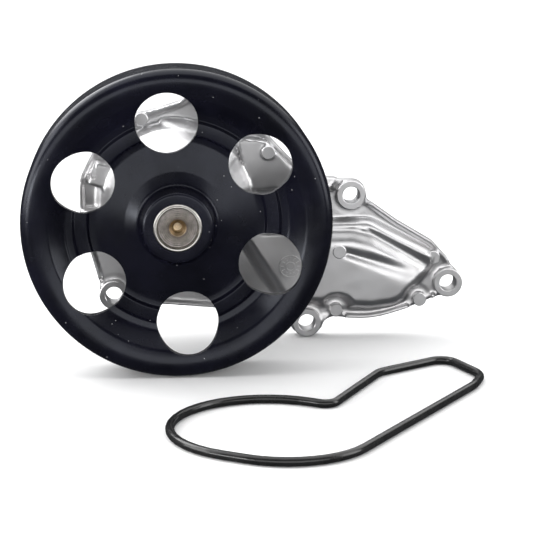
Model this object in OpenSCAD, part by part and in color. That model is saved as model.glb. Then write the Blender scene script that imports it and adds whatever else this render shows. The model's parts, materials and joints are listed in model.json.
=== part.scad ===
// Engine coolant pump: die-cast cover, integral shaft bearing, pressed pulley
// with six holes, mechanical seal, stamped impeller and moulded cover gasket.
// The shaft runs along Y and the pulley faces -Y. The origin is on the shaft
// axis, in the middle of the belt face. The pump stands on the pulley rim and on
// its lowest bolt boss, and the gasket lies in front of it.

/* [Pulley] */

// Outside diameter of the belt face
pulley_d = 118; // [90:1:150]
// Width of the rim from its crest to its rear edge
rim_w = 25; // [16:1:34]
// Thickness of the pressed sheet
sheet = 2.6; // [1.5:0.1:4]
// Diameter of the six lightening holes
hole_d = 23.7; // [14:0.1:26]
// Diameter of the circle that the holes sit on
hole_circle_d = 77.4; // [70:0.2:84]
// Number of lightening holes
hole_n = 6; // [4:1:8]
// Angle of the first hole from the horizontal
hole_phase = 35.4; // [0:0.1:60]
// Distance from the cover joint to the web of the pulley
web_h = 59.4; // [56:0.2:75]
// How far the nose stands in front of the web
nose_out = 10; // [6:0.5:14]
// Radius of the flat front of the nose
nose_r = 13.2; // [11:0.1:16]

/* [Shaft and bearing] */

// Diameter of the shaft
shaft_d = 15.918; // [12:0.001:20]
// Outside diameter of the bearing
bearing_d = 30; // [28:0.1:38]
// Length of the bearing outer ring
bearing_len = 37.5; // [32:0.5:40]
// Diameter of the bearing balls
ball_d = 5.1; // [4:0.1:5.4]
// Balls in each row
ball_n = 9; // [6:1:10]
// Length of shaft behind the cover joint
shaft_tail = 25; // [20:1:32]

/* [Cover] */

// Thickness of the cover flange
flange_t = 5; // [4:0.2:8]
// Height of the bolt bosses from the joint face
boss_h = 8.5; // [6:0.5:14]
// Outside diameter of the bolt bosses
boss_d = 12.8; // [11:0.2:16]
// Bolt hole diameter
bolt_hole_d = 7; // [5:0.1:8.5]
// Height of the passage roof from the joint face
dome_h = 12.5; // [10:0.5:18]
// Wall of the casting
wall = 3.4; // [2.6:0.2:5]
// Height of the raised edge of the flange
lip_h = 1.2; // [0.6:0.1:2.5]
// Outside diameter of the bearing snout at its front
snout_d = 40; // [38:0.5:48]

/* [Gasket] */

// Diameter of the gasket cord
cord_d = 3.2; // [2.4:0.1:4]
// Depth of the gasket groove
groove_depth = 2.3; // [1.5:0.1:3]

/* [Seal and impeller] */

// Bore of the cover that takes the seal
seal_d = 29; // [27:0.1:32]
// Impeller diameter
impeller_d = 62; // [44:1:64]
// Impeller vanes
vane_n = 7; // [5:1:9]
// Height of the impeller vanes
vane_h = 10; // [5:0.5:14]

/* [Hidden] */

$fn = 96;

// One press or contact clearance and one running clearance for every fit.
press = 0.02;
run = 0.05;
free = 0.6;

// Heights are measured forward from the cover joint, along the shaft axis.
pulley_r = pulley_d / 2;
shaft_r = shaft_d / 2;
crest_out = 7.4;
rim_front = web_h + crest_out;
rim_rear = rim_front - rim_w;
rim_round = 6;
belt_h = (rim_front - rim_round + rim_rear) / 2;
nose_h = web_h + nose_out;
shaft_front = nose_h - 0.4;
spigot_r = shaft_r + 1.1;
nose_flat_r = max(nose_r, spigot_r + sheet + 1.2);
hub_r = nose_flat_r - sheet - 0.1;
hub_back = web_h - 6.5;
bearing_r = bearing_d / 2;
bearing_back = 9;
bearing_front = bearing_back + bearing_len;
snout_h = bearing_front - 0.6;
snout_r = snout_d / 2;
tower_h = dome_h + 9;
tower_r = snout_r + 4;
tower_base_r = 30;
chamber_r = bearing_r - 1.5;
chamber_h = 4.5;
hub_rear = -6;
hub_wall_r = seal_d / 2 + 5.5;

// Ball rows run half sunk between the shaft and the outer ring.
groove_r = ball_d / 2 + run;
pitch_r = shaft_r + ball_d / 2 - 0.55;
ring_r = pitch_r + ball_d / 2 - 0.55;
row_h = [bearing_front - 9.5, bearing_back + 9.5];

// Seal stack, rear face by rear face.
case_t = 0.8;
case_flange_r = seal_d / 2 + 2.4;
spring_wire = 1.1;
spring_r = seal_d / 2 - case_t - 1.3;
case_back = hub_rear - case_t;
carbon_front = hub_rear + 1.6;
carbon_back = case_back - 1.4;
seat_back = carbon_back - 3.2;
cup_back = seat_back - 1;
sleeve_t = 0.5;
sleeve_r = shaft_r + press + sleeve_t;
disc_front = cup_back - 1.6;
disc_back = disc_front - 1.6;
vane_back = disc_back - vane_h;
impeller_r = impeller_d / 2;

// Bolt bosses: the third one is the foot that stands level with the rim.
boss_r = boss_d / 2;
boss_top_r = boss_r - 0.4;
foot_y = boss_r - pulley_r;
bosses = [[72.5, 0.9], [113.4, -36.6], [54.5, foot_y], [-25.2, -39.6], [13.5, 43], [-27, 33.5]];

// Gasket line of the joint, anticlockwise from the front: x, y, corner radius.
seal_line = [[-34.3, -37.3, 30], [80, foot_y + 4.8, 20], [94, -46, 13], [111, -25, 6],
             [80.5, -9.2, 12], [32.8, -10.2, 4.5], [34.3, 32.8, 33.5], [-34.3, 32.8, 33.5]];
trough_out = 2.6;
trough_in = 0.6;

// Edge of the flange in the same order. Each boss makes its own corners.
lug_r = boss_r - 0.1;
flange_line = [at(2, [-boss_r - 2.5, 3.6], 3), at(2, [-boss_r, -boss_r], lug_r),
               at(2, [boss_r, -boss_r], lug_r), at(2, [boss_r + 2.6, 1.4], 3.6),
               [82.4, foot_y + 0.3, 12], [98.3, -47.6, 12],
               at(1, [-6.2, -boss_r - 1], 3), at(1, [boss_r, -boss_r], lug_r),
               at(1, [boss_r, 3.1], lug_r), [107.3, -19.6, 8], [92.3, -10.6, 15],
               at(0, [boss_r + 1.7, -3.1], 3), at(0, [boss_r, boss_r], lug_r),
               [61, 8, 12], [49, 14.5, 20], [38, 26.3, 10],
               each lug(4, 73), [-7, 36.9, 20], each lug(5, 127.6),
               [-38.6, 8, 14], [-38.6, -8, 20], [-31.8, -32.5, 6],
               at(3, [-boss_r, -boss_r], lug_r), at(3, [boss_r, -boss_r], 4), [-12, -43.8, 5]];

function at(i, offset, r) = [each (bosses[i] + offset), r];

// Four corners round a boss that stands out of the flange in direction a.
function lug(i, a) =
    [for (c = [[-5.5, -boss_r - 2.2, 4], [boss_r, -boss_r, lug_r], [boss_r, boss_r, lug_r],
               [-5.5, boss_r + 2.2, 4]])
        at(i, spin(flat(c), a), c[2])];

// Ejector pads of the casting: x, y, height of the top.
pads = [[67.4, -22, dome_h + 0.3], [107.2, -26, flange_t + 2.5], [101.6, -43.6, flange_t + 3.2],
        [66.7, -47.6, flange_t + 3.2], [-13, 32.8, flange_t + 1.6], [38.2, 19.3, flange_t + 3.2]];
pad_r = 2.9;

function unit(v) = v / norm(v);
function flat(p) = [p[0], p[1]];
function turn(u, v) = acos(min(1, max(-1, u * v)));
function cross2(u, v) = u[0] * v[1] - u[1] * v[0];
function step(p, i) = p[(i + len(p)) % len(p)];
function heading(p, i) = unit(flat(step(p, i + 1)) - flat(step(p, i)));
function right_of(u) = [u[1], -u[0]];
function spin(p, a) = [p[0] * cos(a) - p[1] * sin(a), p[0] * sin(a) + p[1] * cos(a)];

// A corner rounded to radius r, as points no more than the given angle apart.
function arc_corner(b, u, v, r, angle) =
    let (a = turn(u, v), left = sign(cross2(u, v)), reach = r * tan(a / 2),
         centre = b - u * reach - left * right_of(u) * r, n = max(2, ceil(a / angle)))
    [for (i = [0:n]) centre + spin(left * right_of(u) * r, left * a * i / n)];

function rounded(p) =
    [for (i = [0:len(p) - 1])
        each arc_corner(flat(p[i]), heading(p, i - 1), heading(p, i), p[i][2], 9)];

// The same outline moved outward by d, with its corner radii kept concentric.
function grown(p, d) =
    [for (i = [0:len(p) - 1])
        let (m = right_of(heading(p, i - 1)), n = right_of(heading(p, i)),
             left = sign(cross2(heading(p, i - 1), heading(p, i))))
        [each (flat(p[i]) + (m + n) * d / (1 + m * n)), max(0.4, p[i][2] + left * d)]];

// The corners of an open line moved to its right by t, with their radii kept concentric.
function beside(p, t) =
    let (last = len(p) - 1)
    [for (i = [0:last])
        let (u = unit(flat(p[max(i, 1)]) - flat(p[max(i - 1, 0)])),
             v = unit(flat(p[min(i + 1, last)]) - flat(p[min(i, last - 1)])),
             m = right_of(u), n = right_of(v))
        [each (flat(p[i]) + (m + n) * t / (1 + m * n)), max(0.3, p[i][2] + sign(cross2(u, v)) * t)]];

// An open line whose inner points are rounded: x, y, radius.
function bent(p) =
    [flat(p[0]), for (i = [1:len(p) - 2])
        each arc_corner(flat(p[i]), unit(flat(p[i]) - flat(p[i - 1])),
                        unit(flat(p[i + 1]) - flat(p[i])), p[i][2], 24),
     flat(p[len(p) - 1])];

function reversed(p) = [for (i = [len(p) - 1:-1:0]) p[i]];

// Turns the working frame, height forward, into the pump's own frame.
module stand() {
    translate([0, belt_h, 0])
        rotate([90, 0, 0])
            children();
}

module disc(r, h0, h1) {
    translate([0, 0, min(h0, h1)])
        cylinder(r = r, h = abs(h1 - h0));
}

module ring(r_out, r_in, h0, h1) {
    difference() {
        disc(r_out, h0, h1);
        disc(r_in, min(h0, h1) - 1, max(h0, h1) + 1);
    }
}

module slab(outline, h0, h1) {
    translate([0, 0, h0])
        linear_extrude(height = h1 - h0)
            polygon(outline);
}

module disc_at(p, r, h0, h1) {
    translate([p[0], p[1], 0])
        disc(r, h0, h1);
}

// Flange with its raised edge and the narrow trough inside it.
module flange() {
    difference() {
        slab(rounded(flange_line), 0, flange_t + lip_h);
        slab(rounded(grown(seal_line, trough_out)), flange_t, flange_t + lip_h + 1);
    }
}

// Roof of the water passage, drawn in as it rises.
module dome() {
    for (k = [0:2])
        slab(rounded(grown(seal_line, trough_in - 2 * k)), flange_t - 0.5,
             flange_t + (dome_h - flange_t) * [0.6, 0.85, 1][k]);
}

module tower() {
    rotate_extrude()
        polygon([[0, 0], [tower_base_r, 0], [tower_base_r, dome_h], [tower_r + 1.5, tower_h],
                 [tower_r, tower_h + 1], [snout_r + 1, snout_h - 12], [snout_r, snout_h - 11],
                 [snout_r, snout_h - 1], [snout_r - 1, snout_h], [0, snout_h]]);
    for (a = [20:60:320])
        rotate([0, 0, a])
            rib();
}

module rib() {
    translate([0, 1.75, 0])
        rotate([90, 0, 0])
            linear_extrude(height = 3.5)
                polygon([[0, 0], [tower_base_r + 1, 0], [tower_base_r + 1, dome_h],
                         [snout_r + 1, snout_h - 14], [0, snout_h - 14]]);
}

// Vent chamber on the left of the tower, with the slot that shows a leaking seal.
vent = [-31, 12];
vent_top = dome_h + 2.5;

module vent_block() {
    slab([[-35.5, 6.5], [-12, -2], [-12, 12], [-33, 18]], 0, vent_top);
}

module vent_cut() {
    slot = [[1.1, -2.7, 1.05], [1.1, 2.7, 1.05], [-1.1, 2.7, 1.05], [-1.1, -2.7, 1.05]];
    translate([vent[0], vent[1], 0])
        slab(rounded(slot), flange_t + 1, vent_top + 1);
    translate([0, 0, flange_t + 2])
        rotate([0, 0, atan2(vent[1], vent[0])])
            rotate([0, 90, 0])
                cylinder(r = 1.4, h = norm(vent), $fn = 32);
}

// The water passage, open to the rear, with the hub and the vent block left solid.
module passage() {
    difference() {
        slab(rounded(grown(seal_line, -wall)), -1, dome_h - 4.6);
        disc(hub_wall_r, -2, dome_h);
        vent_block();
    }
}

module groove() {
    difference() {
        slab(rounded(grown(seal_line, cord_d / 2 + 0.2)), -1, groove_depth);
        slab(rounded(grown(seal_line, -cord_d / 2 - 0.2)), -2, groove_depth + 1);
    }
}

// Long hollow of the roof towards the second boss.
module valley() {
    translate([42, -17, dome_h + 15.2])
        rotate([0, 0, -13])
            rotate([0, 90, 0])
                cylinder(r = 18, h = 58);
}

module cover_housing() {
    color("silver")
        stand()
            difference() {
                union() {
                    flange();
                    difference() {
                        dome();
                        valley();
                        disc_at(bosses[0], boss_r + 2, flange_t, dome_h + 1);
                    }
                    tower();
                    vent_block();
                    disc(hub_wall_r, hub_rear, flange_t);
                    for (p = pads)
                        disc_at(p, pad_r, flange_t - 1, p[2]);
                    for (b = bosses)
                        disc_at(b, boss_top_r, flange_t - 1, boss_h);
                }
                passage();
                groove();
                vent_cut();
                for (b = bosses)
                    disc_at(b, bolt_hole_d / 2, -1, boss_h + 1);
                disc(seal_d / 2 + press, hub_rear - 1, chamber_h);
                disc(chamber_r, chamber_h - 1, bearing_back + 1);
                disc(bearing_r + press, bearing_back, snout_h + 1);
            }
}

// Front surface of the pressing, from the nose outward: radius, height, bend.
press_line = [[spigot_r + 0.1, nose_h, 0], [nose_flat_r, nose_h, 1.5],
              [nose_flat_r + 1.6, web_h + 3.4, 3],
              [20, web_h + 1.4, 4], [31, web_h - 1.2, 4], [33.4, web_h - 1, 0.7],
              [34.2, web_h + 0.5, 0.7], [38.8, web_h + 0.5, 0.6], [39.9, web_h - 0.5, 0.6],
              [42.5, web_h, 3], [48.3, web_h + 5.6, 3], [51.4, rim_front, 3],
              [pulley_r, rim_front, rim_round], [pulley_r, rim_rear, 0]];

module pulley() {
    color([0.05, 0.05, 0.07])
        stand()
            difference() {
                rotate_extrude($fn = 60)
                    polygon(concat(bent(press_line), reversed(bent(beside(press_line, sheet)))));
                for (i = [0:hole_n - 1])
                    rotate([0, 0, hole_phase + i * 360 / hole_n])
                        translate([hole_circle_d / 2, 0, web_h - 10])
                            cylinder(d = hole_d, h = 20, $fn = 64);
            }
}

module pulley_hub() {
    seat_h = nose_h - sheet;
    color("gray")
        stand()
            rotate_extrude()
                polygon([[shaft_r + press, hub_back], [hub_r - 0.8, hub_back], [hub_r, hub_back + 0.8],
                         [hub_r, seat_h - 1.6], [hub_r - 1.6, seat_h], [spigot_r, seat_h],
                         [spigot_r, nose_h - 0.1], [spigot_r - 0.3, nose_h + 0.2],
                         [shaft_r + press, nose_h + 0.2]]);
}

module bearing_shaft() {
    color("lightgray")
        stand()
            difference() {
                rotate_extrude()
                    polygon([[0, -shaft_tail], [shaft_r - 0.8, -shaft_tail],
                             [shaft_r, -shaft_tail + 0.8], [shaft_r, shaft_front - 0.6],
                             [shaft_r - 0.6, shaft_front], [0, shaft_front]]);
                translate([0, 0, shaft_front - 2.4])
                    cylinder(r1 = 1.6, r2 = 3.3, h = 2.5);
                disc(1.6, shaft_front - 4.5, shaft_front);
                for (h = row_h)
                    ball_groove(h);
            }
}

module ball_groove(h) {
    translate([0, 0, h])
        rotate_extrude()
            translate([pitch_r, 0])
                circle(r = groove_r, $fn = 48);
}

module bearing_outer_ring() {
    color("lightgray")
        stand()
            difference() {
                rotate_extrude()
                    polygon([[ring_r, bearing_back], [bearing_r - 0.5, bearing_back],
                             [bearing_r, bearing_back + 0.5], [bearing_r, bearing_front - 0.5],
                             [bearing_r - 0.5, bearing_front], [ring_r, bearing_front]]);
                for (h = row_h)
                    ball_groove(h);
            }
}

module ball_row(h) {
    color("gainsboro")
        stand()
            for (i = [0:ball_n - 1])
                rotate([0, 0, i * 360 / ball_n])
                    translate([pitch_r, 0, h])
                        sphere(d = ball_d, $fn = 32);
}

// A crown cage whose open pockets face the middle of the bearing.
module ball_cage(h, facing) {
    color("tan")
        stand()
            difference() {
                ring(ring_r - free, shaft_r + free, h - facing * 3.6, h + facing * 1.1);
                for (i = [0:ball_n - 1])
                    rotate([0, 0, i * 360 / ball_n])
                        translate([pitch_r, 0, h])
                            sphere(r = ball_d / 2 + press, $fn = 32);
            }
}

module bearing_seal(h, facing) {
    color("black")
        stand()
            rotate_extrude()
                polygon([[shaft_r + run, h], [shaft_r + 0.9, h + facing * 0.5],
                         [ring_r - press, h + facing * 0.5], [ring_r - press, h + facing * 2],
                         [shaft_r + 1.6, h + facing * 2], [shaft_r + run, h + facing * 0.9]]);
}

module slinger_ring() {
    color("lightgray")
        stand()
            union() {
                ring(chamber_r - 2, shaft_r + press, bearing_back - 2.4, bearing_back - 1.8);
                ring(shaft_r + 0.8, shaft_r + press, bearing_back - 3.6, bearing_back - 1.8);
            }
}

module seal_case() {
    outer = seal_d / 2;
    color("lightgray")
        stand()
            rotate_extrude()
                polygon([[shaft_r + 1.6, chamber_h], [outer, chamber_h], [outer, hub_rear - press],
                         [case_flange_r, hub_rear - press], [case_flange_r, case_back],
                         [outer - case_t, case_back], [outer - case_t, chamber_h - case_t],
                         [shaft_r + 1.6, chamber_h - case_t]]);
}

// Rubber sleeve between the case and the carbon ring, with one fold.
module seal_bellows() {
    top = chamber_h - case_t - press;
    outer = seal_d / 2 - case_t - 0.4;
    lower = min(shaft_r + 3.4, spring_r - spring_wire / 2 - 0.4);
    neck = min(shaft_r + 1.9, lower - 0.5);
    color([0.1, 0.1, 0.1])
        stand()
            rotate_extrude()
                polygon([[shaft_r + 0.9, top], [outer, top], [outer, top - 1],
                         [neck, top - 1], [neck, carbon_front + 2.6],
                         [lower, carbon_front + 2.6], [lower, carbon_front + press],
                         [shaft_r + 0.9, carbon_front + press]]);
}

// Round wire wound round the bellows, between the case and the carbon ring.
module seal_spring() {
    wire = spring_wire;
    base = carbon_front + wire / 2 + press;
    travel = chamber_h - case_t - 1 - wire / 2 - 2 * press - base;
    turns = 3.5;
    rings = 84;
    sides = 8;
    points = [for (i = [0:rings - 1]) for (j = [0:sides - 1])
        let (a = 360 * turns * i / (rings - 1), h = base + travel * i / (rings - 1),
             r = spring_r + cos(360 * j / sides) * wire / 2)
        [r * cos(a), r * sin(a), h + sin(360 * j / sides) * wire / 2]];
    sides_f = [for (i = [0:rings - 2]) for (j = [0:sides - 1])
        [i * sides + j, i * sides + (j + 1) % sides, (i + 1) * sides + (j + 1) % sides,
         (i + 1) * sides + j]];
    color("silver")
        stand()
            polyhedron(points = points,
                       faces = concat([[for (j = [sides - 1:-1:0]) j]],
                                      [[for (j = [0:sides - 1]) (rings - 1) * sides + j]],
                                      sides_f));
}

module seal_carbon_ring() {
    nose = 12.6;
    color([0.2, 0.2, 0.22])
        stand()
            rotate_extrude()
                polygon([[shaft_r + 1.6, carbon_front], [seal_d / 2 - case_t - 0.4, carbon_front],
                         [seal_d / 2 - case_t - 0.4, case_back + 0.6], [nose, case_back],
                         [nose, carbon_back], [shaft_r + 1.6, carbon_back]]);
}

module seal_mating_ring() {
    color("ivory")
        stand()
            ring(13.6, shaft_r + 2.2, carbon_back - run, seat_back);
}

module seat_rubber_cup() {
    color([0.1, 0.1, 0.1])
        stand()
            rotate_extrude()
                polygon([[sleeve_r + press, cup_back], [14.6, cup_back],
                         [14.6, seat_back + 2.2], [13.6 + press, seat_back + 2.2],
                         [13.6 + press, seat_back - press], [shaft_r + 2.2 - press, seat_back - press],
                         [shaft_r + 2.2 - press, carbon_back - 1],
                         [sleeve_r + press, carbon_back - 1]]);
}

module seal_sleeve() {
    color("lightgray")
        stand()
            union() {
                ring(sleeve_r, shaft_r + press, chamber_h - 1.5, cup_back - sleeve_t);
                ring(14.9, shaft_r + press, cup_back - press, cup_back - sleeve_t);
            }
}

// Arc of a backward-curved vane: its centre, its radius, and where it starts and ends.
vane_mid = 20;
vane_arc = 18;
vane_t = 1.6;
vane_in = shaft_r + 4.4;
vane_out = impeller_r - 0.6;

function vane_angle(r) = acos((r * r - vane_mid * vane_mid - vane_arc * vane_arc) / (2 * vane_mid * vane_arc));

module impeller() {
    collar_r = shaft_r + 2.2;
    color("silver")
        stand()
            union() {
                rotate_extrude()
                    polygon([[shaft_r + press, -shaft_tail + 2], [collar_r, -shaft_tail + 2],
                             [collar_r, disc_back - 1.5], [collar_r + 1.5, disc_back],
                             [impeller_r, disc_back], [impeller_r, disc_front],
                             [shaft_r + press, disc_front]]);
                for (i = [0:vane_n - 1])
                    rotate([0, 0, i * 360 / vane_n])
                        vane();
            }
}

module vane() {
    start = vane_angle(vane_out);
    translate([vane_mid, 0, 0])
        rotate([0, 0, start])
            rotate_extrude(angle = vane_angle(vane_in) - start)
                translate([vane_arc - vane_t / 2, vane_back])
                    square([vane_t, disc_back - vane_back + 0.4]);
}

// The gasket lies on the floor, turned, in front of the pump.
gasket_turn = 60;
gasket_at = [53, -68];
gasket_mid = [25, -14];

module cover_gasket() {
    line = rounded(seal_line);
    n = len(line);
    sides = 10;
    r = cord_d / 2;
    points = [for (i = [0:n - 1])
        let (t = unit(line[(i + 1) % n] - line[(i + n - 1) % n]), across = right_of(t))
        for (j = [0:sides - 1])
            let (p = line[i] - gasket_mid + across * r * cos(360 * (j + 0.5) / sides),
                 q = spin(p, gasket_turn) + gasket_at)
            [q[0], q[1], r - pulley_r + r * sin(360 * (j + 0.5) / sides)]];
    color([0.05, 0.05, 0.05])
        polyhedron(points = points,
                   faces = [for (i = [0:n - 1]) for (j = [0:sides - 1])
                       [i * sides + j, i * sides + (j + 1) % sides,
                        ((i + 1) % n) * sides + (j + 1) % sides, ((i + 1) % n) * sides + j]]);
}

cover_housing();
pulley();
pulley_hub();
bearing_shaft();
bearing_outer_ring();
ball_row(row_h[0]);  // front_ball_row
ball_cage(row_h[0], 1);  // front_ball_cage
ball_row(row_h[1]);  // rear_ball_row
ball_cage(row_h[1], -1);  // rear_ball_cage
bearing_seal(bearing_front - 0.3, -1);  // front_bearing_seal
bearing_seal(bearing_back + 0.3, 1);  // rear_bearing_seal
slinger_ring();
seal_case();
seal_bellows();
seal_spring();
seal_carbon_ring();
seal_mating_ring();
seat_rubber_cup();
seal_sleeve();
impeller();
cover_gasket();
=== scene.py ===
import bpy
import json
import math
import numpy as np
import openvdb
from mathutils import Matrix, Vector


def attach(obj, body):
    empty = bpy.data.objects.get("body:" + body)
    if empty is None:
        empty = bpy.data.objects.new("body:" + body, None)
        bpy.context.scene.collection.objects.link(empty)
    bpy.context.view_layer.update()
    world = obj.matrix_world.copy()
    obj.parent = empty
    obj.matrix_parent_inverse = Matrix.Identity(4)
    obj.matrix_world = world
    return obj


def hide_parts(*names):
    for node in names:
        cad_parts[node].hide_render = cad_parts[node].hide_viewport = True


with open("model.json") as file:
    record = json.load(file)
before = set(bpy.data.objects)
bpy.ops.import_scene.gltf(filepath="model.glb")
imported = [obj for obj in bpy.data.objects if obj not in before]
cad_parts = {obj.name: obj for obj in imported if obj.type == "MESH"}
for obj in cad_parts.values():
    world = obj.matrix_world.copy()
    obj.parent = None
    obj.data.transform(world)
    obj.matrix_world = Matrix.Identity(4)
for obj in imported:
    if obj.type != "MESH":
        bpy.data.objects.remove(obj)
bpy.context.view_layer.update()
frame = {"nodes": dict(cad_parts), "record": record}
record = frame["record"]
cad = frame["nodes"]


# --- Cover ---------------------------------------------------------------
# Die-cast aluminium cover: a flange with a raised edge, the domed roof of the
# water passage, and the conical snout that carries the bearing. Cast in one
# piece, then drilled and faced; M6 bolts hold it to the engine.
MM = 0.001
mounts = {m["name"]: m for m in record["mounts"]}
joint_y = mounts["joint_face"]["pos_m"][1] / MM
bolt_mounts = ["tail_top", "tail_tip", "foot", "left_low", "top_right", "top_left"]
bolts = [
    (mounts["bolt_hole_" + n]["pos_m"][0] / MM, mounts["bolt_hole_" + n]["pos_m"][2] / MM)
    for n in bolt_mounts
]
boss_r = 6.4
foot_y = bolts[2][1]
flange_t = 5.0
lip_h = 1.2
roof_h = 12.5
boss_h = 8.5
snout_h = 45.9
snout_r = 20.0
hub_back = -6.0


def to_frame(points):
    """Points in mm, right, up and forward from the joint face, into the frame."""
    p = np.asarray(points, float)
    return np.stack([p[:, 0], joint_y - p[:, 2], p[:, 1]], 1) * MM


def rounded(corners, step=4):
    """A closed line of (x, y, radius) corners with its rounds as short chords."""
    line = []
    for i, (x, y, r) in enumerate(corners):
        here = np.array([x, y], float)
        before = np.array(corners[i - 1][:2], float)
        after = np.array(corners[(i + 1) % len(corners)][:2], float)
        u = (here - before) / np.linalg.norm(here - before)
        v = (after - here) / np.linalg.norm(after - here)
        turn = math.acos(max(-1, min(1, float(u @ v))))
        left = math.copysign(1, u[0] * v[1] - u[1] * v[0])
        side = left * np.array([u[1], -u[0]])
        centre = here - u * r * math.tan(turn / 2) - side * r
        count = max(2, math.ceil(math.degrees(turn) / step))
        for k in range(count + 1):
            a = left * turn * k / count
            c, s = math.cos(a), math.sin(a)
            spoke = np.array([side[0] * c - side[1] * s, side[0] * s + side[1] * c])
            line.append(centre + r * spoke)
    return np.array(line)


def near(i, dx, dy, r):
    """An outline corner given from the centre of a bolt boss."""
    return (bolts[i][0] + dx, bolts[i][1] + dy, r)


def lug(i, angle):
    """The four corners of the flange round a boss that stands out of it."""
    c, s = math.cos(math.radians(angle)), math.sin(math.radians(angle))
    corners = [(-5.5, -boss_r - 2.2, 4), (boss_r, -boss_r, boss_r - 0.1),
               (boss_r, boss_r, boss_r - 0.1), (-5.5, boss_r + 2.2, 4)]
    return [near(i, x * c - y * s, x * s + y * c, r) for x, y, r in corners]


flange_line = [
    near(2, -boss_r - 2.5, 3.6, 3), near(2, -boss_r, -boss_r, boss_r - 0.1),
    near(2, boss_r, -boss_r, boss_r - 0.1), near(2, boss_r + 2.6, 1.4, 3.6),
    (82.4, foot_y + 0.3, 40), (98.3, -47.6, 60),
    near(1, -6.2, -boss_r - 1, 3), near(1, boss_r, -boss_r, boss_r - 0.1),
    near(1, boss_r, 3.1, boss_r - 0.1), (107.3, -19.6, 8), (92.3, -10.6, 15),
    near(0, boss_r + 1.7, -3.1, 3), near(0, boss_r, boss_r, boss_r - 0.1),
    (61, 8, 12), (49, 14.5, 20), (38, 26.3, 10), *lug(4, 73), (-7, 36.9, 20), *lug(5, 127.6),
    (-38.6, 8, 14), (-38.6, -8, 20), (-31.8, -32.5, 6),
    near(3, -boss_r, -boss_r, boss_r - 0.1), near(3, boss_r, -boss_r, 4), (-12, -43.8, 5),
]
seal_line = [
    (-34.3, -37.3, 30), (80, foot_y + 4.8, 20), (94, -46, 13), (111, -25, 6),
    (80.5, -9.2, 12), (32.8, -10.2, 4.5), (34.3, 32.8, 33.5), (-34.3, 32.8, 33.5),
]

# The casting is a field of signed distances on a grid, negative inside the metal.
cell = 0.66
low = np.array([-46.0, -62.0, -8.0])
high = np.array([123.0, 56.0, 48.0])
axes = [np.arange(low[i], high[i] + cell, cell) for i in range(3)]
gx, gy = np.meshgrid(axes[0], axes[1], indexing="ij")
gh = axes[2][None, None, :]


def outline_distance(line, x, y):
    """Distance from a closed line, negative inside it."""
    best = np.full(x.shape, 1e9)
    inside = np.zeros(x.shape, bool)
    for a, b in zip(line, np.roll(line, -1, 0)):
        e = b - a
        t = np.clip(((x - a[0]) * e[0] + (y - a[1]) * e[1]) / max(e @ e, 1e-9), 0, 1)
        best = np.minimum(best, (x - a[0] - t * e[0]) ** 2 + (y - a[1] - t * e[1]) ** 2)
        if a[1] != b[1]:
            crosses = (a[1] > y) != (b[1] > y)
            inside ^= crosses & (x < e[0] * (y - a[1]) / e[1] + a[0])
    return np.where(inside, -1, 1) * np.sqrt(best)


def segment_distance(x, y, a, b):
    """Distance from a stretch of line, and how far along it the nearest point is."""
    ex, ey = b[0] - a[0], b[1] - a[1]
    t = np.clip(((x - a[0]) * ex + (y - a[1]) * ey) / (ex * ex + ey * ey), 0, 1)
    return np.hypot(x - a[0] - t * ex, y - a[1] - t * ey), t


def soft_min(a, b, k):
    """The lower of two fields, blended over about k mm: a fillet in a solid."""
    h = np.clip(0.5 + 0.5 * (b - a) / k, 0, 1)
    return b + (a - b) * h - k * h * (1 - h)


def soft_max(a, b, k):
    """The higher of two fields, blended over about k mm: a rounded cut."""
    return -soft_min(-a, -b, k)


edge = outline_distance(rounded(flange_line), gx, gy)
for bx, by in bolts:
    edge = edge + 0.8 * np.clip(1.5 - (np.hypot(gx - bx, gy - by) - boss_r) / 2, 0, 1)
seal = outline_distance(rounded(seal_line), gx, gy)

# Roof of the passage: a flat lower shelf, a hollow along the top, and a shallow
# groove that widens from an ejector pad towards the tip.
hollow_start, _ = segment_distance(gx, gy, (58, -13), (78, -13.2))
hollow_end, _ = segment_distance(gx, gy, (78, -13.2), (104.5, -28.5))
groove, along = segment_distance(gx, gy, (67.4, -21.6), (113, -35.6))
hollow = soft_min(hollow_start, hollow_end, 4.0)
roof = roof_h - 3.4 * np.exp(-(hollow / 3.4) ** 2)
roof = roof - 1.2 * np.exp(-(groove / (1.2 + 3.0 * along)) ** 2)
roof = roof - 1.2 * np.clip((gx - 92) / 20, 0, 1)
# The shelf ends on a slanting wall beside the snout.
wall_dir = np.array([13.0, -20.0]) / math.hypot(13, 20)
beside_wall = (gx - 27.5) * wall_dir[1] - (gy + 20) * wall_dir[0]
dome = soft_max(seal - 0.4, beside_wall, 3.0)
front = soft_min(flange_t + 2.2 * np.maximum(-dome, -1), roof, 4.5)
front = soft_max(np.full_like(front, flange_t), front, 0.7)

# Shoulder between the round lobe and the first boss.
shoulder_line = [(24, 26, 3), (38, 24, 6), (48.5, 12.8, 18), (60.5, 6.4, 12), (68, 6.3, 1),
                 (66, 2.5, 2), (44, 3.5, 8), (31, 3, 2)]
shoulder = outline_distance(rounded(shoulder_line), gx, gy)
block = soft_min(flange_t + 6 * np.maximum(-shoulder, -1), np.full_like(front, 9.4), 0.8)
front = soft_max(front, block, 0.6)

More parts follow.
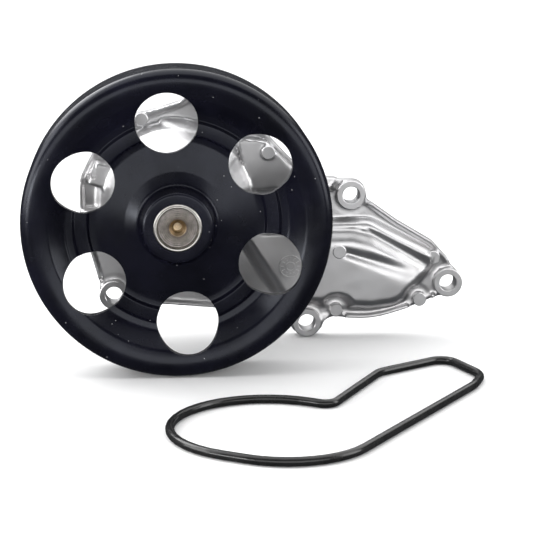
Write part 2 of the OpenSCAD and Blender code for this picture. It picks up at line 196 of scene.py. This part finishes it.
# Raised edge of the flange, then round clearances for the bolt heads and pads.
lip = flange_t + lip_h * np.clip((edge + 2.3) / 1.2, 0, 1)
front = np.maximum(front, lip)
clear_r = [8.3, 7.7, 8.0, 8.0, 8.0, 8.0]
for (bx, by), r in zip(bolts, clear_r):
    gap = np.hypot(gx - bx, gy - by) - r
    front = soft_min(front, flange_t + 0.3 + 3.5 * np.maximum(gap, 0), 0.8)
pads = [(67.4, -22, roof_h + 0.35), (107.2, -26, flange_t + 2.8), (101.6, -43.6, flange_t + 3.4),
        (66.7, -47.6, flange_t + 3.4), (-13, 32.8, flange_t + 2.2), (38.2, 19.3, 11.6)]
pad_r = 2.9
for px, py, _ in pads[2:4]:
    gap = np.hypot(gx - px, gy - py) - 5.1
    front = soft_min(front, flange_t + 2.4 * np.maximum(gap, 0), 1.0)
slope = np.hypot(*np.gradient(front, cell))
body = np.maximum((gh - front[:, :, None]) / np.sqrt(1 + slope[:, :, None] ** 2),
                  edge[:, :, None] + 0.03 * gh)

# Snout: a cone that narrows to the bearing seat, with cast ribs on it.
radius = np.hypot(gx, gy)[:, :, None]
cone_h = [0, 5, 12.5, 20, 24, 33, snout_h]
cone_r = [31.5, 31.2, 29.8, 26.6, 24.2, 20.9, snout_r]
cone = np.interp(axes[2], cone_h, cone_r)
snout = np.maximum((radius - cone[None, None, :]) * 0.92, gh - snout_h)
rib_reach = np.interp(axes[2], [0, 12.5, 34], [32, 30.5, snout_r])[None, None, :]
rib_angles = (12, 38, 140, 212, 318)
for angle in rib_angles:
    c, s = math.cos(math.radians(angle)), math.sin(math.radians(angle))
    across = np.abs(gy * c - gx * s)[:, :, None]
    ahead = (gx * c + gy * s)[:, :, None]
    rib = np.maximum(np.maximum(across - 1.5 + 0.02 * gh, -ahead), (radius - rib_reach) * 0.85)
    snout = soft_min(snout, rib, 1.6)
body = soft_min(body, snout, 2.2)

# Vent chamber on the left of the snout, with a second web below it.
vent_line = [(-35.6, 7.6, 1), (-12, -1, 2), (-12, 14, 2), (-31.5, 17, 1.5)]
vent = np.maximum(outline_distance(rounded(vent_line), gx, gy)[:, :, None] + 0.04 * gh, gh - 15)
body = soft_min(body, vent, 1.2)
web, _ = segment_distance(gx, gy, (-36, -5), (-20, -4))
body = soft_min(body, np.maximum(web[:, :, None] - 1.6 + 0.05 * gh, gh - 11), 1.2)

# Bosses and ejector pads grow out of the flange with a small fillet.
for bx, by in bolts:
    disc = np.hypot(gx - bx, gy - by)[:, :, None]
    body = soft_min(body, np.maximum(disc - boss_r + 0.5 + 0.03 * gh, gh - boss_h + 0.6), 0.7)
for px, py, top in pads:
    disc = np.hypot(gx - px, gy - py)[:, :, None]
    body = soft_min(body, np.maximum(disc - pad_r + 0.3, gh - top + 0.8), 0.5)

# Flat joint face behind, with the hub of the seal standing through it.
body = np.maximum(body, -gh)
hub = np.maximum(radius - 20.0, np.maximum(hub_back - gh, gh - flange_t))
body = soft_min(body, hub, 0.6)
# Water passage, open to the rear.
volute = np.maximum(seal + 3.4, np.hypot(gx, gy) - 27.5)
ceiling = np.minimum(7.9, front - 2.8)
walls = np.minimum(volute, dome + 3.8)[:, :, None] + 0.04 * gh
passage = np.maximum(walls, gh - ceiling[:, :, None])
passage = soft_max(passage, 20.0 - radius, 1.5)
solid_spots = [(p[0], p[1], 5.1) for p in pads[2:4]] + [(b[0], b[1], 7.8) for b in bolts]
for px, py, r in solid_spots:
    passage = np.maximum(passage, (r + 3.0 - np.hypot(gx - px, gy - py))[:, :, None])
passage = soft_max(passage, -(outline_distance(rounded(vent_line), gx, gy)[:, :, None] - 1), 1.0)
body = soft_max(body, -passage, 0.8)
del snout, walls, passage, hub, vent


def mesh_of(points, faces, name):
    """A plain mesh object from points in the frame."""
    mesh = bpy.data.meshes.new(name)
    mesh.from_pydata([tuple(p) for p in points], [], [tuple(int(i) for i in f) for f in faces])
    mesh.validate()
    obj = bpy.data.objects.new(name, mesh)
    bpy.context.collection.objects.link(obj)
    return obj


grid = openvdb.FloatGrid(10.0)
grid.copyFromArray(np.clip(body, -3, 3).astype(np.float32) / cell)
points, triangles, quads = grid.convertToPolygons(isovalue=0.0, adaptivity=0.0)
points = low + points * cell
faces = [tuple(t) for t in triangles] + [tuple(q) for q in quads]
cast = mesh_of(to_frame(points), faces, "cast_cover")


def signed_volume(obj):
    """Volume of a closed mesh, negative if it is inside out."""
    mesh = obj.data
    mesh.calc_loop_triangles()
    co = np.empty(len(mesh.vertices) * 3)
    mesh.vertices.foreach_get("co", co)
    co = co.reshape(-1, 3)
    tri = np.empty(len(mesh.loop_triangles) * 3, int)
    mesh.loop_triangles.foreach_get("vertices", tri)
    a, b, c = (co[tri.reshape(-1, 3)[:, i]] for i in range(3))
    return float(np.einsum("ij,ij->i", a, np.cross(b, c)).sum() / 6)


def outward(obj):
    """Turns the faces round if the closed mesh is inside out."""
    if signed_volume(obj) < 0:
        obj.data.flip_normals()
    return obj


outward(cast)


def lathe(profile, name, steps, centre=(0, 0)):
    """A turned solid from (radius, forward) points, about an axis along the shaft."""
    prof = np.array(profile, float)
    n = len(prof)
    points = []
    for k in range(steps):
        a = 2 * math.pi * k / steps
        for r, h in prof:
            points.append((centre[0] + r * math.cos(a), centre[1] + r * math.sin(a), h))
    faces = []
    for k in range(steps):
        m = (k + 1) % steps
        for i in range(n):
            j = (i + 1) % n
            faces.append((k * n + i, k * n + j, m * n + j, m * n + i))
    return outward(mesh_of(to_frame(points), faces, name))


def prism(line, h0, h1, name):
    """A straight solid on a closed outline."""
    n = len(line)
    points = [(x, y, h0) for x, y in line] + [(x, y, h1) for x, y in line]
    faces = [tuple(range(n - 1, -1, -1)), tuple(range(n, 2 * n))]
    faces += [(i, (i + 1) % n, n + (i + 1) % n, n + i) for i in range(n)]
    return outward(mesh_of(to_frame(points), faces, name))


def rod(levels, centre=(0, 0), steps=64, name="rod"):
    """A round solid with flat ends, from (radius, forward) levels."""
    turns = [2 * math.pi * k / steps for k in range(steps)]
    ring = [(math.cos(a), math.sin(a)) for a in turns]
    points = [(centre[0] + r * x, centre[1] + r * y, h) for r, h in levels for x, y in ring]
    faces = [tuple(range(steps - 1, -1, -1)), tuple(range(len(points) - steps, len(points)))]
    for row in range(len(levels) - 1):
        here, above = row * steps, (row + 1) * steps
        for k in range(steps):
            m = (k + 1) % steps
            faces.append((here + k, here + m, above + m, above + k))
    return outward(mesh_of(to_frame(points), faces, name))


def combine(obj, others, how):
    """Joins or cuts the others, which don't meet each other, and removes them."""
    tool = others[0]
    if len(others) > 1:
        points, faces = [], []
        for other in others:
            faces += [tuple(i + len(points) for i in f.vertices) for f in other.data.polygons]
            points += [tuple(v.co) for v in other.data.vertices]
            bpy.data.objects.remove(other)
        tool = mesh_of(points, faces, "tool")
    mod = obj.modifiers.new("combine", "BOOLEAN")
    mod.operation = how
    mod.solver = "MANIFOLD"
    mod.object = tool
    graph = bpy.context.evaluated_depsgraph_get()
    result = bpy.data.meshes.new_from_object(obj.evaluated_get(graph))
    obj.modifiers.remove(mod)
    obj.data = result
    bpy.data.objects.remove(tool)
    return obj


def smooth(obj, angle):
    """Smooth shading with creases sharper than the angle kept."""
    for f in obj.data.polygons:
        f.use_smooth = True
    obj.data.set_sharp_from_angle(angle=math.radians(angle))
    return obj


# Faced boss rings, then the drilled holes, the seats of bearing and seal, the
# gasket groove and the vent slot.
ring_r = boss_r - 0.4
boss_levels = [(ring_r, 3), (ring_r, boss_h - 0.35), (ring_r - 0.35, boss_h)]
raised = [rod(boss_levels, b, name="boss") for b in bolts]
for px, py, top in pads:
    pad_levels = [(pad_r, 3), (pad_r - 0.1, top - 0.3), (pad_r - 0.4, top)]
    raised.append(rod(pad_levels, (px, py), 48, "pad"))
dial_x, dial_y = 47.2, -27.8
dial_root, dial_top = roof_h - 1, roof_h + 0.5
for r in (1.7, 4.5):
    section = [(r - 0.35, dial_root), (r + 0.35, dial_root), (r + 0.25, dial_top), (r - 0.25, dial_top)]
    raised.append(lathe(section, "dial_ring", 64, (dial_x, dial_y)))
dial_ticks = 12
tick_corners = ((2.7, -0.25), (4.0, -0.25), (4.0, 0.25), (2.7, 0.25))
for k in range(dial_ticks):
    a = 2 * math.pi * k / dial_ticks
    c, s = math.cos(a), math.sin(a)
    tick = [(dial_x + u * c - v * s, dial_y + u * s + v * c) for u, v in tick_corners]
    raised.append(prism(tick, dial_root, dial_top, "dial_tick"))
combine(cast, raised, "UNION")
bolt_r = mounts["bolt_hole_foot"]["dims"]["r_mm"]
sink_r = bolt_r + 0.5
drill_levels = [(bolt_r, -2), (bolt_r, boss_h - 0.3), (sink_r, boss_h + 0.2), (sink_r, boss_h + 1)]
combine(cast, [rod(drill_levels, b) for b in bolts], "DIFFERENCE")
seal_seat_r, step_r, bearing_seat_r, mouth_r = 14.52, 13.5, 15.02, 15.5
seat_levels = [
    (seal_seat_r, hub_back - 2), (seal_seat_r, 4.5), (step_r, 4.5), (step_r, 9), (bearing_seat_r, 9),
    (bearing_seat_r, snout_h - 0.4), (mouth_r, snout_h + 0.1), (mouth_r, snout_h + 2),
]
seats = rod(seat_levels, steps=128, name="seats")
combine(cast, [seats], "DIFFERENCE")


def offset_line(line, d):
    """A closed anticlockwise line moved outwards by d."""
    back = line - np.roll(line, 1, 0)
    ahead = np.roll(line, -1, 0) - line
    back /= np.maximum(np.linalg.norm(back, axis=1, keepdims=True), 1e-9)
    ahead /= np.maximum(np.linalg.norm(ahead, axis=1, keepdims=True), 1e-9)
    mean = back + ahead
    mean /= np.linalg.norm(mean, axis=1, keepdims=True)
    return line + d * np.stack([mean[:, 1], -mean[:, 0]], 1)


def closed_wall(outer, inner, h0, h1, name):
    """A closed wall between two lines of the same number of points."""
    n = len(outer)
    edges = ((outer, h0), (outer, h1), (inner, h1), (inner, h0))
    points = [(x, y, h) for line, h in edges for x, y in line]
    faces = []
    for lvl in range(4):
        for k in range(n):
            m = (k + 1) % n
            nxt = (lvl + 1) % 4
            faces.append((lvl * n + k, lvl * n + m, nxt * n + m, nxt * n + k))
    return outward(mesh_of(to_frame(points), faces, name))


seal_path = rounded(seal_line)
cord_r = 1.6
groove_half = cord_r + 0.2
groove_outer, groove_inner = offset_line(seal_path, groove_half), offset_line(seal_path, -groove_half)
ring_groove = closed_wall(groove_outer, groove_inner, -1, 2.3, "gasket_groove")
slot = rounded([(-31.6, 9.7, 0.9), (-31.3, 15, 0.9), (-33.2, 15, 0.9), (-33.5, 9.7, 0.9)], 15)
combine(cast, [ring_groove, prism(slot, 8, 16, "vent_slot")], "DIFFERENCE")
smooth(cast, 40)


def material(name, **sockets):
    """A Principled material with constant sockets, and its nodes to build on."""
    mat = bpy.data.materials.new(name)
    mat.use_nodes = True
    shader = mat.node_tree.nodes["Principled BSDF"]
    for key, value in sockets.items():
        shader.inputs[key.replace("_", " ")].default_value = value
    return mat, mat.node_tree.nodes, mat.node_tree.links, shader


def noise(nodes, links, coords, scale, detail):
    """Cloudy variation from 0 to 1; a larger scale gives finer spots."""
    tex = nodes.new("ShaderNodeTexNoise")
    tex.inputs["Scale"].default_value = scale
    tex.inputs["Detail"].default_value = detail
    tex.inputs["Roughness"].default_value = 0.55
    links.new(coords, tex.inputs["Vector"])
    return tex.outputs["Fac"]


def ramp(nodes, links, fac, stops):
    """A colour ramp with (place, colour) stops."""
    node = nodes.new("ShaderNodeValToRGB")
    while len(node.color_ramp.elements) < len(stops):
        node.color_ramp.elements.new(0.5)
    for element, (at, colour) in zip(node.color_ramp.elements, stops):
        element.position = at
        element.color = (*colour, 1)
    links.new(fac, node.inputs["Fac"])
    return node.outputs["Color"]


def cloudy(nodes, links, coords, shader, socket, scale, detail, low, high):
    """Drives a socket between two (place, colour) stops by a cloudy variation."""
    spots = noise(nodes, links, coords, scale, detail)
    links.new(ramp(nodes, links, spots, [low, high]), shader.inputs[socket])


def bump(nodes, links, height, strength, distance, below=None):
    """A fine relief, on top of another one where it is given."""
    node = nodes.new("ShaderNodeBump")
    node.inputs["Strength"].default_value = strength
    node.inputs["Distance"].default_value = distance
    links.new(height, node.inputs["Height"])
    if below is not None:
        links.new(below, node.inputs["Normal"])
    return node.outputs["Normal"]


def grey(v):
    """A neutral colour."""
    return (v, v, v)


def dress(obj, mat, body, node):
    """Gives the whole piece one finish and puts it in the place of its CAD node."""
    obj.data.materials.clear()
    obj.data.materials.append(mat)
    obj.data.polygons.foreach_set("material_index", [0] * len(obj.data.polygons))
    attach(obj, body)
    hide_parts(node)


cast_skin, n, l, shader = material("Die-cast aluminium", Metallic=1.0, Roughness=0.3)
coords = n.new("ShaderNodeTexCoord").outputs["Object"]
cloudy(n, l, coords, shader, "Base Color", 28, 3, (0.3, (0.62, 0.61, 0.61)), (0.7, (0.77, 0.77, 0.78)))
cloudy(n, l, coords, shader, "Roughness", 160, 5, (0.3, grey(0.33)), (0.75, grey(0.46)))
grain = noise(n, l, coords, 1000, 2)
fine = bump(n, l, grain, 0.1, 0.0001)
l.new(bump(n, l, noise(n, l, coords, 90, 2), 0.15, 0.0003, fine), shader.inputs["Normal"])
dress(cast, cast_skin, "cover", "cover_housing")


# --- Pulley --------------------------------------------------------------
# Drawn and pierced from one steel sheet, then coated gloss black. The nose is
# pressed over the hub; the smooth rim runs on the back of the belt.
web_h = 59.4
nose_h = web_h + 10
rim_front = web_h + 7.4
rim_rear = rim_front - 25
rim_r = mounts["belt_face"]["dims"]["r_mm"]
sheet_t = 2.6
press_line = [
    (9.16, nose_h, 0), (13.2, nose_h, 1.5), (14.8, web_h + 3.4, 3), (20, web_h + 1.4, 4),
    (31, web_h - 1.2, 4), (33.4, web_h - 1, 0.7), (34.2, web_h + 0.5, 0.7), (38.8, web_h + 0.5, 0.6),
    (39.9, web_h - 0.5, 0.6), (42.5, web_h, 3), (48.6, web_h + 5.9, 4), (52.4, rim_front, 10),
    (rim_r, rim_front, 4.5), (rim_r, rim_rear, 0),
]


def open_bent(corners, step=7):
    """An open line whose inner corners are rounded."""
    line = [np.array(corners[0][:2], float)]
    inner = rounded([*corners], step)
    counts = []
    for i, (x, y, r) in enumerate(corners):
        here = np.array([x, y], float)
        u = here - np.array(corners[i - 1][:2], float)
        v = np.array(corners[(i + 1) % len(corners)][:2], float) - here
        turn = math.acos(max(-1, min(1, float(u @ v / np.linalg.norm(u) / np.linalg.norm(v)))))
        counts.append(max(2, math.ceil(math.degrees(turn) / step)) + 1)
    start = counts[0]
    for c in counts[1:-1]:
        line += list(inner[start:start + c])
        start += c
    line.append(np.array(corners[-1][:2], float))
    return np.array(line)


def moved_aside(corners, t):
    """The corners of an open line moved to its right, with concentric radii."""
    last = len(corners) - 1
    out = []
    for i, (x, y, r) in enumerate(corners):
        ends = (max(i - 1, 0), max(i, 1), min(i, last - 1), min(i + 1, last))
        p = [np.array(corners[k][:2], float) for k in ends]
        u = (p[1] - p[0]) / np.linalg.norm(p[1] - p[0])
        v = (p[3] - p[2]) / np.linalg.norm(p[3] - p[2])
        m, w = np.array([u[1], -u[0]]), np.array([v[1], -v[0]])
        at = np.array([x, y]) + (m + w) * t / (1 + m @ w)
        left = math.copysign(1, u[0] * v[1] - u[1] * v[0])
        out.append((at[0], at[1], max(0.3, r + left * t)))
    return out


front_line = open_bent(press_line)
back_line = open_bent(moved_aside(press_line, sheet_t))
wheel = lathe(list(front_line) + list(back_line[::-1]), "pressed_pulley", 240)


def new_tree(name, inputs):
    """A Geometry Nodes tree with named size inputs, its nodes and links."""
    tree = bpy.data.node_groups.new(name, "GeometryNodeTree")
    tree.interface.new_socket("Geometry", in_out="INPUT", socket_type="NodeSocketGeometry")
    for label, kind in inputs:
        tree.interface.new_socket(label, in_out="INPUT", socket_type=kind)
    tree.interface.new_socket("Geometry", in_out="OUTPUT", socket_type="NodeSocketGeometry")
    given, result = tree.nodes.new("NodeGroupInput"), tree.nodes.new("NodeGroupOutput")
    return tree, tree.nodes, tree.links, given, result


def grow(obj, tree, values):
    """Runs a tree on the object once and keeps the result as its plain mesh."""
    mod = obj.modifiers.new(tree.name, "NODES")
    mod.node_group = tree
    items = tree.interface.items_tree
    sockets = {item.name: item.identifier for item in items if item.in_out == "INPUT"}
    for label, value in values.items():
        mod[sockets[label]] = value
    graph = bpy.context.evaluated_depsgraph_get()
    mesh = bpy.data.meshes.new_from_object(obj.evaluated_get(graph))
    name = obj.name
    bpy.data.objects.remove(obj)
    made = bpy.data.objects.new(name, mesh)
    bpy.context.collection.objects.link(made)
    return made


# Six punches on a circle, all in one tree.
punch_inputs = [
    ("Count", "NodeSocketInt"), ("Circle", "NodeSocketFloat"), ("Punch", "NodeSocketFloat"),
    ("Length", "NodeSocketFloat"), ("Material", "NodeSocketMaterial"),
]
tree, n, l, given, result = new_tree("punches", punch_inputs)
circle = n.new("GeometryNodeMeshCircle")
l.new(given.outputs["Count"], circle.inputs["Vertices"])
l.new(given.outputs["Circle"], circle.inputs["Radius"])
punch = n.new("GeometryNodeMeshCylinder")
punch.inputs["Vertices"].default_value = 96
l.new(given.outputs["Punch"], punch.inputs["Radius"])
l.new(given.outputs["Length"], punch.inputs["Depth"])
place = n.new("GeometryNodeInstanceOnPoints")
l.new(circle.outputs["Mesh"], place.inputs["Points"])
l.new(punch.outputs["Mesh"], place.inputs["Instance"])
real = n.new("GeometryNodeRealizeInstances")
l.new(place.outputs["Instances"], real.inputs["Geometry"])
finish = n.new("GeometryNodeSetMaterial")
l.new(real.outputs["Geometry"], finish.inputs["Geometry"])
l.new(given.outputs["Material"], finish.inputs["Material"])
l.new(finish.outputs["Geometry"], result.inputs["Geometry"])
hole_count, hole_circle_r, hole_r, punch_length = 6, 38.7, 11.85, 30
sizes = {"Count": hole_count, "Circle": hole_circle_r * MM, "Punch": hole_r * MM,
         "Length": punch_length * MM}
punches = grow(mesh_of([(0, 0, 0)], [], "punches"), tree, sizes)
first = math.radians(35.4)
for v in punches.data.vertices:
    x, y, h = v.co
    v.co = (x * math.cos(first) - y * math.sin(first), joint_y * MM - (h + web_h * MM),
            x * math.sin(first) + y * math.cos(first))
combine(wheel, [punches], "DIFFERENCE")
smooth(wheel, 32)
soft_edge = wheel.modifiers.new("punched edge", "BEVEL")
soft_edge.width = 0.3 * MM
soft_edge.segments = 2
soft_edge.limit_method = "ANGLE"
soft_edge.angle_limit = math.radians(60)

paint, n, l, shader = material("Gloss black coating", Metallic=0.0, Specular_IOR_Level=0.3,
                               Specular_Tint=(0.86, 0.9, 1.0, 1))
coords = n.new("ShaderNodeTexCoord").outputs["Object"]
cloud = noise(n, l, coords, 35, 4)
dust = n.new("ShaderNodeTexVoronoi")
dust.inputs["Scale"].default_value = 210
l.new(coords, dust.inputs["Vector"])
speck = ramp(n, l, dust.outputs["Distance"], [(0.03, grey(0.3)), (0.05, grey(0.0))])
tint = n.new("ShaderNodeMix")
tint.data_type = "RGBA"
tint.blend_type = "ADD"
tint.inputs["Factor"].default_value = 1
black = ramp(n, l, cloud, [(0.35, (0.002, 0.002, 0.004)), (0.7, (0.006, 0.006, 0.012))])
l.new(black, tint.inputs["A"])
l.new(speck, tint.inputs["B"])
l.new(tint.outputs["Result"], shader.inputs["Base Color"])
cloudy(n, l, coords, shader, "Roughness", 110, 6, (0.35, grey(0.20)), (0.7, grey(0.30)))
peel = noise(n, l, coords, 450, 1)
l.new(bump(n, l, peel, 0.05, 0.0001), shader.inputs["Normal"])
dress(wheel, paint, "rotor", "pulley")


# --- Gasket --------------------------------------------------------------
# Moulded rubber cord in the outline of the cover's groove, lying loose on the
# floor in front of the pump. Made in one piece in a two-part mould.
turn_deg, gasket_at, gasket_mid = 60, (53, -68), (25, -14)
floor_z = -rim_r
path = rounded(seal_line, 9) - gasket_mid
c, s = math.cos(math.radians(turn_deg)), math.sin(math.radians(turn_deg))
path = np.stack([path[:, 0] * c - path[:, 1] * s, path[:, 0] * s + path[:, 1] * c], 1) + gasket_at
curve = bpy.data.curves.new("gasket_path", "CURVE")
curve.dimensions = "3D"
spline = curve.splines.new("POLY")
spline.points.add(len(path) - 1)
for point, (x, y) in zip(spline.points, path):
    point.co = (x * MM, y * MM, (floor_z + cord_r) * MM, 1)
spline.use_cyclic_u = True
gasket = bpy.data.objects.new("moulded_gasket", curve)
bpy.context.collection.objects.link(gasket)
rubber, n, l, shader = material("Moulded black rubber", Roughness=0.28, Specular_IOR_Level=0.5)
coords = n.new("ShaderNodeTexCoord").outputs["Object"]
cloudy(n, l, coords, shader, "Base Color", 90, 4, (0.3, grey(0.006)), (0.7, grey(0.016)))
cloudy(n, l, coords, shader, "Roughness", 220, 5, (0.3, grey(0.16)), (0.7, grey(0.3)))
l.new(bump(n, l, noise(n, l, coords, 900, 3), 0.12, 0.0001), shader.inputs["Normal"])
cord_inputs = [("Radius", "NodeSocketFloat"), ("Material", "NodeSocketMaterial")]
tree, n, l, given, result = new_tree("cord", cord_inputs)
even = n.new("GeometryNodeResampleCurve")
even.mode = "LENGTH"
even.inputs["Length"].default_value = 1.2 * MM
l.new(given.outputs["Geometry"], even.inputs["Curve"])
ring = n.new("GeometryNodeCurvePrimitiveCircle")
ring.inputs["Resolution"].default_value = 24
l.new(given.outputs["Radius"], ring.inputs["Radius"])
cord = n.new("GeometryNodeCurveToMesh")
l.new(even.outputs["Curve"], cord.inputs["Curve"])
l.new(ring.outputs["Curve"], cord.inputs["Profile Curve"])
real = n.new("GeometryNodeRealizeInstances")
l.new(cord.outputs["Mesh"], real.inputs["Geometry"])
finish = n.new("GeometryNodeSetMaterial")
l.new(real.outputs["Geometry"], finish.inputs["Geometry"])
l.new(given.outputs["Material"], finish.inputs["Material"])
l.new(finish.outputs["Geometry"], result.inputs["Geometry"])
sizes = {"Radius": (cord_r - 0.01) * MM, "Material": rubber}
gasket = smooth(outward(grow(gasket, tree, sizes)), 60)
dress(gasket, rubber, "gasket", "cover_gasket")


# --- Turned and stamped inner pieces ------------------------------------
# Shaft, hub, bearing, seal and impeller keep their CAD solids and take finishes.
def finish_node(names, mat):
    """Gives the CAD pieces of these names one finish."""
    for name in names:
        cad[name].data.materials.clear()
        cad[name].data.materials.append(mat)


steel, n, l, shader = material("Turned steel", Metallic=1.0, Roughness=0.35)
coords = n.new("ShaderNodeTexCoord").outputs["Object"]
split = n.new("ShaderNodeSeparateXYZ")
l.new(coords, split.inputs[0])
flat = n.new("ShaderNodeCombineXYZ")
l.new(split.outputs["X"], flat.inputs["X"])
l.new(split.outputs["Z"], flat.inputs["Y"])
length = n.new("ShaderNodeVectorMath")
length.operation = "LENGTH"
l.new(flat.outputs[0], length.inputs[0])
distance = length.outputs["Value"]
waves = n.new("ShaderNodeMath")
waves.operation = "SINE"
scaled = n.new("ShaderNodeMath")
scaled.operation = "MULTIPLY"
scaled.inputs[1].default_value = 9000  # a turning mark every 0.7 mm
l.new(distance, scaled.inputs[0])
l.new(scaled.outputs[0], waves.inputs[0])
l.new(bump(n, l, waves.outputs[0], 0.5, 0.00006), shader.inputs["Normal"])
cloudy(n, l, coords, shader, "Base Color", 420, 5,
       (0.35, (0.50, 0.48, 0.45)), (0.7, (0.72, 0.70, 0.66)))
finish_node(["pulley_hub"], steel)

# The end of the shaft is darker, with a film of rust in its centre drilling.
shaft_steel = steel.copy()
shaft_steel.name = "Hardened shaft steel"
n, l = shaft_steel.node_tree.nodes, shaft_steel.node_tree.links
shader = n["Principled BSDF"]
reach = n.new("ShaderNodeMath")
reach.operation = "MULTIPLY"
reach.inputs[1].default_value = 100  # the ramp spans 10 mm of radius
l.new(n[length.name].outputs["Value"], reach.inputs[0])
bands = ramp(n, l, reach.outputs[0], [
    (0.0, (0.70, 0.56, 0.38)), (0.30, (0.58, 0.46, 0.31)), (0.34, (0.16, 0.13, 0.11)),
    (0.44, (0.30, 0.27, 0.24)), (0.72, (0.36, 0.33, 0.31)), (0.79, (0.62, 0.60, 0.56)),
])
coords = n[split.name].inputs[0].links[0].from_socket
blotch = ramp(n, l, noise(n, l, coords, 500, 5), [(0.3, grey(0.55)), (0.7, grey(1.0))])
worn = n.new("ShaderNodeMix")
worn.data_type = "RGBA"
worn.blend_type = "MULTIPLY"
worn.inputs["Factor"].default_value = 1
l.new(bands, worn.inputs["A"])
l.new(blotch, worn.inputs["B"])
l.new(worn.outputs["Result"], shader.inputs["Base Color"])
finish_node(["bearing_shaft"], shaft_steel)

ground, n, l, shader = material("Ground bearing steel", Metallic=1.0, Roughness=0.18)
coords = n.new("ShaderNodeTexCoord").outputs["Object"]
cloudy(n, l, coords, shader, "Base Color", 300, 4, (0.3, grey(0.55)), (0.7, grey(0.72)))
finish_node(["bearing_outer_ring", "front_ball_row", "rear_ball_row"], ground)

plated, n, l, shader = material("Plated sheet steel", Metallic=1.0, Roughness=0.3)
coords = n.new("ShaderNodeTexCoord").outputs["Object"]
cloudy(n, l, coords, shader, "Base Color", 90, 5,
       (0.3, (0.42, 0.41, 0.38)), (0.7, (0.66, 0.65, 0.62)))
cloudy(n, l, coords, shader, "Roughness", 260, 5, (0.3, grey(0.22)), (0.7, grey(0.42)))
finish_node(["impeller", "slinger_ring", "seal_case", "seal_spring", "seal_sleeve"], plated)

finish_node(["front_bearing_seal", "rear_bearing_seal", "seal_bellows", "seat_rubber_cup"], rubber)

nylon, n, l, shader = material("Natural nylon", Roughness=0.45, Subsurface_Weight=0.1)
coords = n.new("ShaderNodeTexCoord").outputs["Object"]
cloudy(n, l, coords, shader, "Base Color", 150, 3,
       (0.3, (0.62, 0.54, 0.38)), (0.7, (0.74, 0.67, 0.5)))
finish_node(["front_ball_cage", "rear_ball_cage"], nylon)

carbon, n, l, shader = material("Lapped carbon", Roughness=0.3)
coords = n.new("ShaderNodeTexCoord").outputs["Object"]
cloudy(n, l, coords, shader, "Base Color", 500, 4, (0.3, grey(0.03)), (0.7, grey(0.06)))
finish_node(["seal_carbon_ring"], carbon)

ceramic, n, l, shader = material("Lapped ceramic", Roughness=0.2)
coords = n.new("ShaderNodeTexCoord").outputs["Object"]
cloudy(n, l, coords, shader, "Base Color", 300, 3,
       (0.3, (0.72, 0.70, 0.64)), (0.7, (0.82, 0.80, 0.74)))
finish_node(["seal_mating_ring"], ceramic)


# --- Floor, light and camera --------------------------------------------
# A white paper sweep under a wide light above and behind the pump, which keeps
# the paper white. Soft boxes at both sides, low left, behind and in front draw the
# edges, and the room is dark, so the black coating stays black.
sweep_front, sweep_back, sweep_r, sweep_side, sweep_top = -5.0, 1.4, 0.5, 5.0, 2.0
floor = floor_z * MM
profile = [(sweep_front, floor), (sweep_back, floor)]
for deg in range(6, 91, 6):
    a = math.radians(deg)
    profile.append((sweep_back + sweep_r * math.sin(a), floor + sweep_r * (1 - math.cos(a))))
profile.append((sweep_back + sweep_r, sweep_top))
paper = mesh_of(
    [(x, y, z) for y, z in profile for x in (-sweep_side, sweep_side)],
    [(2 * i, 2 * i + 1, 2 * i + 3, 2 * i + 2) for i in range(len(profile) - 1)],
    "paper_sweep",
)
for f in paper.data.polygons:
    f.use_smooth = True
white, n, l, shader = material("White paper", Roughness=0.6, Base_Color=(0.94, 0.94, 0.94, 1))
paper.data.materials.append(white)
paper.visible_glossy = False

world = bpy.data.worlds.new("dark_room")
bpy.context.scene.world = world
world.use_nodes = True
room = world.node_tree.nodes["Background"]
room.inputs["Color"].default_value = (0.9, 0.94, 1.0, 1)
room.inputs["Strength"].default_value = 0.08


def soft_box(name, at, aim, size, power):
    """A rectangular light at a place, turned towards another."""
    light = bpy.data.lights.new(name, "AREA")
    light.shape = "RECTANGLE"
    light.size, light.size_y = size
    light.energy = power
    obj = bpy.data.objects.new(name, light)
    bpy.context.collection.objects.link(obj)
    obj.location = at
    obj.rotation_euler = (Vector(aim) - Vector(at)).to_track_quat("-Z", "Y").to_euler()


soft_box("tent_roof", (0.0, 1.3, 1.4), (0.0, 1.3, 0), (4.4, 3.6), 90)
soft_box("soft_box_left", (-0.8, -0.1, 0.24), (0, 0, 0), (0.5, 0.56), 4)
soft_box("soft_box_right", (0.85, -0.2, 0.24), (0.05, 0, 0), (0.45, 0.56), 3)
soft_box("soft_box_front", (0.15, -1.3, 0.22), (0.05, 0, 0), (2.4, 0.7), 11)
soft_box("soft_box_low_left", (-0.55, -0.45, 0.02), (0.03, 0, -0.02), (0.3, 0.14), 1.5)
soft_box("soft_box_rear", (-0.55, 0.5, 0.6), (0, 0, 0), (0.8, 0.6), 6)
bpy.context.scene.view_settings.view_transform = "Standard"

camera = bpy.data.cameras.new("camera")
camera.sensor_width = 36
camera.lens = 116.76
camera.shift_x = 0.003
camera.shift_y = -0.0361
eye = bpy.data.objects.new("camera", camera)
bpy.context.collection.objects.link(eye)
eye.location = (-0.01338, -0.66075, 0.12577)
yaw, pitch = math.radians(4.21), math.radians(11.81)
aim = Vector((math.sin(yaw) * math.cos(pitch), math.cos(yaw) * math.cos(pitch), -math.sin(pitch)))
eye.rotation_euler = aim.to_track_quat("-Z", "Y").to_euler()
bpy.context.scene.camera = eye
